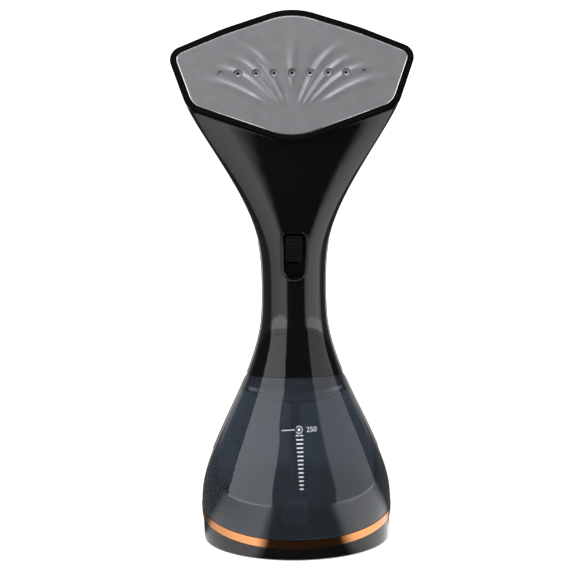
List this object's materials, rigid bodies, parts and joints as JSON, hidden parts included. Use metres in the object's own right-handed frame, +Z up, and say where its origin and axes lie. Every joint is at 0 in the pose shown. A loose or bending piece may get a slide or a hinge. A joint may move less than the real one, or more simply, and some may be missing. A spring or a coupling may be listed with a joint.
{
  "type": "garment steamer",
  "caption": "Hand-held garment steamer standing on its lift-off water tank, with a tilted steam plate, a slide switch on the grip and a dip tube in the tank",
  "frame": {"origin": "the middle of the underside of the base pad, on the plane the steamer stands on", "axes": "+Z up the handle, -Y the front, where the steam plate and the switch face, +X to the right seen from the front"},
  "size_m": [0.123, 0.0943, 0.2787],
  "materials": {
    "smoked_tank": "smoked clear moulded plastic",
    "rose_gold_trim": "rose-gold plated plastic",
    "black_shell": "high-gloss moulded",
    "black_matte": "satin moulded",
    "black_rubber": "matt moulded",
    "steel_screws": "zinc plated",
    "coated_plate": "satin non-stick coating",
    "silicone": "translucent silicone",
    "cast_aluminium": "die cast",
    "element_sheath": "drawn tube",
    "white_plastic": "moulded",
    "tube_plastic": "extruded",
    "filter_plastic": "moulded"
  },
  "bodies": {
    "tank_unit": {"tank": "smoked_tank", "tank_trim_left": "rose_gold_trim", "tank_trim_right": "rose_gold_trim", "accent_ring": "rose_gold_trim", "base_cap": "black_shell", "base_pad": "black_rubber"},
    "handle_unit": {"handle_trim_left": "rose_gold_trim", "handle_trim_right": "rose_gold_trim", "front_shell": "black_shell", "rear_shell": "black_shell", "shell_screws": "steel_screws", "head_bezel": "black_shell", "steam_plate": "coated_plate", "plate_gasket": "silicone", "heater_block": "cast_aluminium", "chamber_cover": "cast_aluminium", "heating_element": "element_sheath", "heater_screws": "steel_screws", "thermostat": "element_sheath", "thermal_fuse": "steel_screws", "pump_body": "white_plastic", "pump_mounts": "black_rubber", "inlet_hose": "silicone", "outlet_hose": "silicone", "tank_plug": "black_matte", "plug_seal": "silicone", "vent_valve": "silicone", "dip_tube": "tube_plastic", "filter_weight": "filter_plastic", "switch_frame": "black_shell", "switch_body": "black_matte", "cord_inlet": "black_rubber"},
    "steam_slider": {"switch_knob": "black_matte"}
  },
  "joints": [
    {"name": "tank_release", "type": "slide", "parent": "tank_unit", "child": "handle_unit", "axis": [0, 0, 1], "range_m": [0, 0.095]},
    {"name": "steam_slide", "type": "slide", "parent": "handle_unit", "child": "steam_slider", "axis": [0, 0.0349, -0.9994], "range_m": [0, 0.006]}
  ]
}
